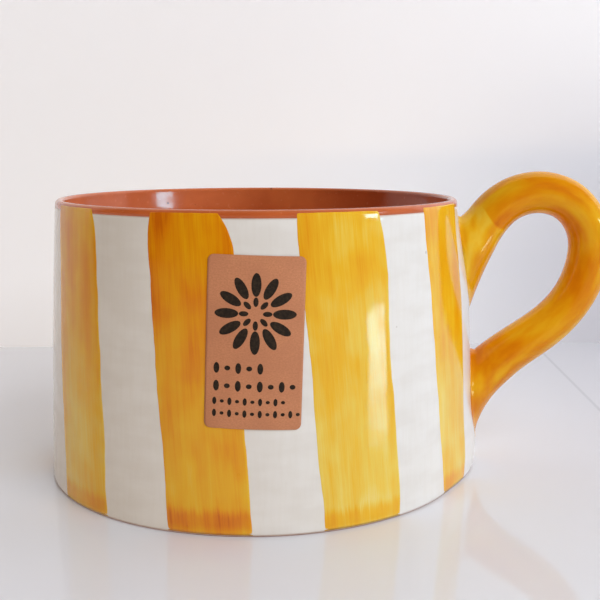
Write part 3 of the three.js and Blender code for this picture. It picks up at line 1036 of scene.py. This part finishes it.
def makePrintTree(material):
    # Petals and marks are laid out flat, then bent round the wall with the label.
    tree, given, result = newGroup(
        "labelPrint", "GeometryNodeTree",
        [("Petals", "Int", 12), ("Petal Reach", "Float", 6.0), ("Petal Length", "Float", 2.4),
         ("Petal Width", "Float", 1.0), ("Inner Petals", "Int", 8), ("Inner Reach", "Float", 2.4),
         ("Inner Length", "Float", 1.0), ("Inner Width", "Float", 0.5), ("Ink", "Float", 0.03)],
        [("Geometry", "Geometry")])
    flatParts = addNode(tree, "GeometryNodeJoinGeometry")

    def spot(length, width):
        disc = addNode(tree, "GeometryNodeMeshCylinder", {"Vertices": 24, "Radius": 1.0, "Depth": 1.0},
                       fill_type="TRIANGLE_FAN")
        fine = addNode(tree, "GeometryNodeSubdivideMesh", {"Mesh": disc.outputs["Mesh"], "Level": 1})
        scale = vectorOf(tree, length, width, given["Ink"])
        return addNode(tree, "GeometryNodeTransform", {"Geometry": fine.outputs[0], "Scale": scale})

    def ringOf(count, reach, length, width):
        circle = addNode(tree, "GeometryNodeMeshCircle", {"Vertices": count, "Radius": reach})
        lifted = addNode(tree, "GeometryNodeTransform", {
            "Geometry": circle.outputs[0], "Translation": (0.0, printing["rosetteHeight"], 0.0)})
        step = calc(tree, "DIVIDE", 2 * math.pi, count)
        index = addNode(tree, "GeometryNodeInputIndex").outputs[0]
        turn = vectorOf(tree, z=times(tree, index, step))
        petals = addNode(tree, "GeometryNodeInstanceOnPoints", {
            "Points": lifted.outputs[0], "Instance": spot(length, width).outputs[0], "Rotation": turn})
        tree.links.new(petals.outputs[0], flatParts.inputs[0])

    ringOf(given["Petals"], given["Petal Reach"], given["Petal Length"],
           given["Petal Width"])
    ringOf(given["Inner Petals"], given["Inner Reach"], given["Inner Length"],
           given["Inner Width"])
    markWidth, markHeight = printing["mark"]
    for height, marks, size in printing["rows"]:
        pitch = printing["pitch"] * size
        line = addNode(tree, "GeometryNodeMeshLine", {
            "Count": marks, "Start Location": (printing["leftEdge"] + size, height, 0.0),
            "Offset": (pitch, 0.0, 0.0)})
        index = addNode(tree, "GeometryNodeInputIndex").outputs[0]
        odd = calc(tree, "MODULO", index, 2.0)
        tall = minus(tree, 1.0, times(tree, odd, printing["shorter"]))
        shape = vectorOf(tree, 1.0, tall, 1.0)
        marksMade = addNode(tree, "GeometryNodeInstanceOnPoints", {
            "Points": line.outputs[0], "Instance": spot(size * markWidth, size * markHeight).outputs[0],
            "Scale": shape})
        tree.links.new(marksMade.outputs[0], flatParts.inputs[0])
    spread = addNode(tree, "GeometryNodeRealizeInstances", {"Geometry": flatParts.outputs[0]})

    # Turn with the label, then bend round the wall.
    flat = partsOf(tree, addNode(tree, "GeometryNodeInputPosition").outputs[0])
    turn = math.radians(-label["turn"])
    x = minus(tree, times(tree, flat["X"], math.cos(turn)),
             times(tree, flat["Y"], math.sin(turn)))
    z = plus(tree, plus(tree, times(tree, flat["X"], math.sin(turn)),
                               times(tree, flat["Y"], math.cos(turn))), label["height"])
    wall = slopedWall(tree, z)
    azimuth = plus(tree, math.radians(label["azimuth"]), calc(tree, "DIVIDE", x, wall))
    lift = plus(tree, flat["Z"], label["above"] + label["paper"])
    bent = laidAt(tree, plus(tree, wall, lift), azimuth, z)
    laid = addNode(tree, "GeometryNodeSetPosition", {"Geometry": spread.outputs[0], "Position": bent})
    tree.links.new(realWithMaterial(tree, laid.outputs[0], material), result.inputs[0])
    return tree


def makePrint():
    material, tree, shader = newMaterial("labelInk", Roughness=0.7, Specular_IOR_Level=0.25)
    patchy = noise(tree, objectPlace(tree), 1500.0, 3.0, 0.7)
    tone = mixColours(tree, remap(tree, patchy, 0.35, 0.75), *printing["inks"])
    tree.links.new(tone, shader.inputs["Base Color"])
    addBump(tree, shader, patchy, printing["relief"])
    return runTree("labelPrint", makePrintTree(material), {
        "Petals": printing["petals"], "Petal Reach": printing["petalReach"],
        "Petal Length": printing["petalLength"], "Petal Width": printing["petalWidth"],
        "Inner Petals": printing["innerPetals"], "Inner Reach": printing["innerReach"],
        "Inner Length": printing["innerLength"], "Inner Width": printing["innerWidth"],
        "Ink": printing["ink"]})


kraft = {
    "tones": (paint(190, 124, 86), paint(212, 146, 106)),
    "clouds": paint(186, 122, 88),
    "cloudShare": 0.4,
    "flecks": paint(140, 88, 58),
    "fleckShare": 0.6,
    "roughness": (0.62, 0.78),
    "relief": 0.00004,
}


def makeKraft():
    material, tree, shader = newMaterial("kraftPaper")
    place = stored(tree, "labelPlace")
    fibres = noise(tree, stretched(tree, place, (1.0, 1.5, 1.0)), 2.2, 5.0, 0.75)
    flecks = noise(tree, place, 7.0, 2.0, 0.6)
    cloud = noise(tree, place, 0.12, 2.0, 0.5)
    tone = mixColours(tree, remap(tree, fibres, 0.3, 0.7), *kraft["tones"])
    tone = mixColours(tree, remap(tree, cloud, 0.35, 0.65, 0.0, kraft["cloudShare"]), tone, kraft["clouds"])
    tone = mixColours(tree, remap(tree, flecks, 0.68, 0.78, 0.0, kraft["fleckShare"]), tone, kraft["flecks"])
    tree.links.new(tone, shader.inputs["Base Color"])
    tree.links.new(remap(tree, fibres, 0.3, 0.7, *kraft["roughness"]), shader.inputs["Roughness"])
    addBump(tree, shader, plus(tree, fibres, flecks), kraft["relief"])
    return material


# Table, backdrop, lights and camera.

# The stage and its lights are in metres.
stage = {
    "halfWidth": 2.2,
    "front": -2.0,
    "wallAt": 0.145,
    "wallTop": 1.4,
    "seamAt": 0.1047,
    "seamLean": 0.068,
    "seamWidth": (0.0009, 0.0002),
    "seam": paint(150, 150, 154),
    "shadeAcross": (0.03, 0.16),
    "shadeUp": (0.15, 0.03),
    "cloudShare": 0.97,
    "table": {"light": paint(224, 223, 225), "dark": paint(212, 211, 215), "roughness": 0.05,
              "seamDepth": 0.25, "glow": 0.1},
    "wall": {"light": paint(250, 250, 252), "dark": paint(205, 204, 210), "roughness": 0.6,
             "seamDepth": 0.0, "glow": 0.13},
}


def makeStagePiece(name, corners, look):
    piece = makeMesh(name, np.array(corners) / mm, [(0, 1, 2, 3)])
    material, tree, shader = newMaterial(name)
    place = objectPlace(tree)
    apart = partsOf(tree, place)
    clouded = tuple(stage["cloudShare"] * channel for channel in look["light"])
    cloud = mixColours(tree, noise(tree, place, 2.5), look["light"], clouded)
    # The far right corner of the room falls into shade, and a seam runs back across the table there.
    shade = times(tree, remap(tree, apart["X"], *stage["shadeAcross"]),
                  remap(tree, apart["Z"], *stage["shadeUp"]))
    aside = minus(tree, apart["X"], times(tree, apart["Y"], stage["seamLean"]))
    fromSeam = calc(tree, "ABSOLUTE", minus(tree, aside, stage["seamAt"]))
    seam = remap(tree, fromSeam, *stage["seamWidth"])
    shaded = mixColours(tree, shade, cloud, look["dark"])
    colour = mixColours(tree, times(tree, seam, look["seamDepth"]), shaded, stage["seam"])
    tree.links.new(colour, shader.inputs["Base Color"])
    tree.links.new(colour, shader.inputs["Emission Color"])
    shader.inputs["Emission Strength"].default_value = look["glow"]
    fine = noise(tree, place, 60.0, 3.0)
    roughness = remap(tree, fine, 0.3, 0.7, look["roughness"], look["roughness"] + 0.03)
    tree.links.new(roughness, shader.inputs["Roughness"])
    # Seen from behind or below, the stage is clear.
    backOrFront = addNode(tree, "ShaderNodeMixShader", {
        0: addNode(tree, "ShaderNodeNewGeometry").outputs["Backfacing"], 1: shader.outputs[0],
        2: addNode(tree, "ShaderNodeBsdfTransparent").outputs[0]})
    tree.links.new(backOrFront.outputs[0], tree.nodes["Material Output"].inputs["Surface"])
    piece.data.materials.append(material)


def makeStage():
    side, front, back, top = stage["halfWidth"], stage["front"], stage["wallAt"], stage["wallTop"]
    makeStagePiece("paleTable", [(-side, front, 0), (side, front, 0), (side, back, 0), (-side, back, 0)],
                   stage["table"])
    makeStagePiece("paleWall", [(-side, back, 0), (side, back, 0), (side, back, top), (-side, back, top)],
                   stage["wall"])


def addLight(name, place, target, size, power, colour, gloss=True, diffuse=True):
    light = bpy.data.lights.new(name, "AREA")
    light.shape = "RECTANGLE"
    light.size, light.size_y = size
    light.energy = power
    light.color = colour
    lamp = bpy.data.objects.new(name, light)
    lamp.location = place
    lamp.rotation_euler = (Vector(target) - Vector(place)).to_track_quat("-Z", "Y").to_euler()
    lamp.visible_glossy = gloss
    lamp.visible_diffuse = diffuse
    scene.collection.objects.link(lamp)


room = {
    "turn": (-0.3, 0.95),        # from the dark left side of the room to its bright right side
    "rise": (0.25, 0.85),
    "left": (0.05, 0.04, 0.03, 1.0),
    "right": (0.4, 0.41, 0.43, 1.0),
    "overhead": (0.06, 0.06, 0.06, 1.0),
    "strength": 0.8,
}
lights = [                       # the window is only for the gloss; a glazing bar parts its two panes
    {"name": "lowPane", "place": (2.18, -1.0, 0.3275), "target": (0.0, -0.05, 0.3275), "size": (0.5, 0.285),
     "power": 8.0, "colour": (0.4, 0.82, 1.0), "diffuse": False},
    {"name": "highPane", "place": (2.18, -1.0, 0.53), "target": (0.0, -0.05, 0.53), "size": (0.5, 0.08),
     "power": 2.3, "colour": (0.4, 0.82, 1.0), "diffuse": False},
    {"name": "softKey", "place": (0.6, -0.75, 0.8), "target": (0.0, 0.0, 0.03), "size": (0.8, 0.8),
     "power": 11.0, "colour": (0.89, 0.93, 1.0), "gloss": False},
    {"name": "rightWash", "place": (0.95, 0.0, 0.45), "target": (0.0, 0.0, 0.05), "size": (0.5, 0.5),
     "power": 2.1, "colour": (1.0, 0.95, 0.94), "gloss": False},
    {"name": "frontLow", "place": (-0.5, -0.75, 0.025), "target": (0.0, 0.0, 0.035), "size": (1.0, 0.04),
     "power": 1.6, "colour": (1.0, 0.66, 0.3), "gloss": False},
    {"name": "warmFill", "place": (-0.5, 0.1, 0.2), "target": (0.0, 0.0, 0.04), "size": (0.14, 0.3),
     "power": 0.05, "colour": (1.0, 0.66, 0.5)},
]


def makeLights():
    world = bpy.data.worlds.new("softRoom")
    scene.world = world
    world.use_nodes = True
    tree = world.node_tree
    towards = partsOf(tree, addNode(tree, "ShaderNodeTexCoord").outputs["Generated"])
    level = mixColours(tree, remap(tree, towards["X"], *room["turn"]), room["left"], room["right"])
    colour = mixColours(tree, remap(tree, towards["Z"], *room["rise"]), level, room["overhead"])
    tree.links.new(colour, tree.nodes["Background"].inputs["Color"])
    tree.nodes["Background"].inputs["Strength"].default_value = room["strength"]
    for light in lights:
        addLight(**light)


camera = {"place": (0.00219, -0.25015, 0.08385), "down": 9.3, "turn": -2.0, "lens": 57.84, "sensor": 36.0}


def makeCamera():
    data = bpy.data.cameras.new("camera")
    data.lens = camera["lens"]
    data.sensor_width = camera["sensor"]
    data.clip_start = 0.01
    viewer = bpy.data.objects.new("camera", data)
    viewer.location = camera["place"]
    viewer.rotation_euler = (math.radians(90 - camera["down"]), 0, math.radians(camera["turn"]))
    scene.collection.objects.link(viewer)
    scene.camera = viewer
    scene.view_settings.view_transform = "Standard"


# Build everything.

def finishPiece(piece, material, slot, *nodes):
    if material:
        piece.data.materials.clear()
        piece.data.materials.append(material)
    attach(piece, "root")
    if nodes:
        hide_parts(*nodes)
    print("made", piece.name, len(piece.data.polygons), "faces")


makeCamera()
makeStage()
makeLights()
print("stage, lights and camera are set")
finishPiece(makeBody(), makeClay(), "terracotta", "body")
finishPiece(makeLiner(), makeGlossyClay(), "clear_glaze", "clear_liner_glaze")
finishPiece(makeWhiteCoat(), makeWhiteGlaze(), "white_glaze", "white_glaze")
for number, piece in enumerate(makeStrokes()):
    finishPiece(piece, None, "yellow_glaze", f"stroke_{number + 1}")
finishPiece(makeHandle(), makeHandleGlaze(), "yellow_glaze",
      "handle", "handle_glaze", "upper_handle_joint", "lower_handle_joint")
finishPiece(makeLabel(), makeKraft(), "kraft_paper", "paper_label")
finishPiece(makePrint(), None, "kraft_paper")
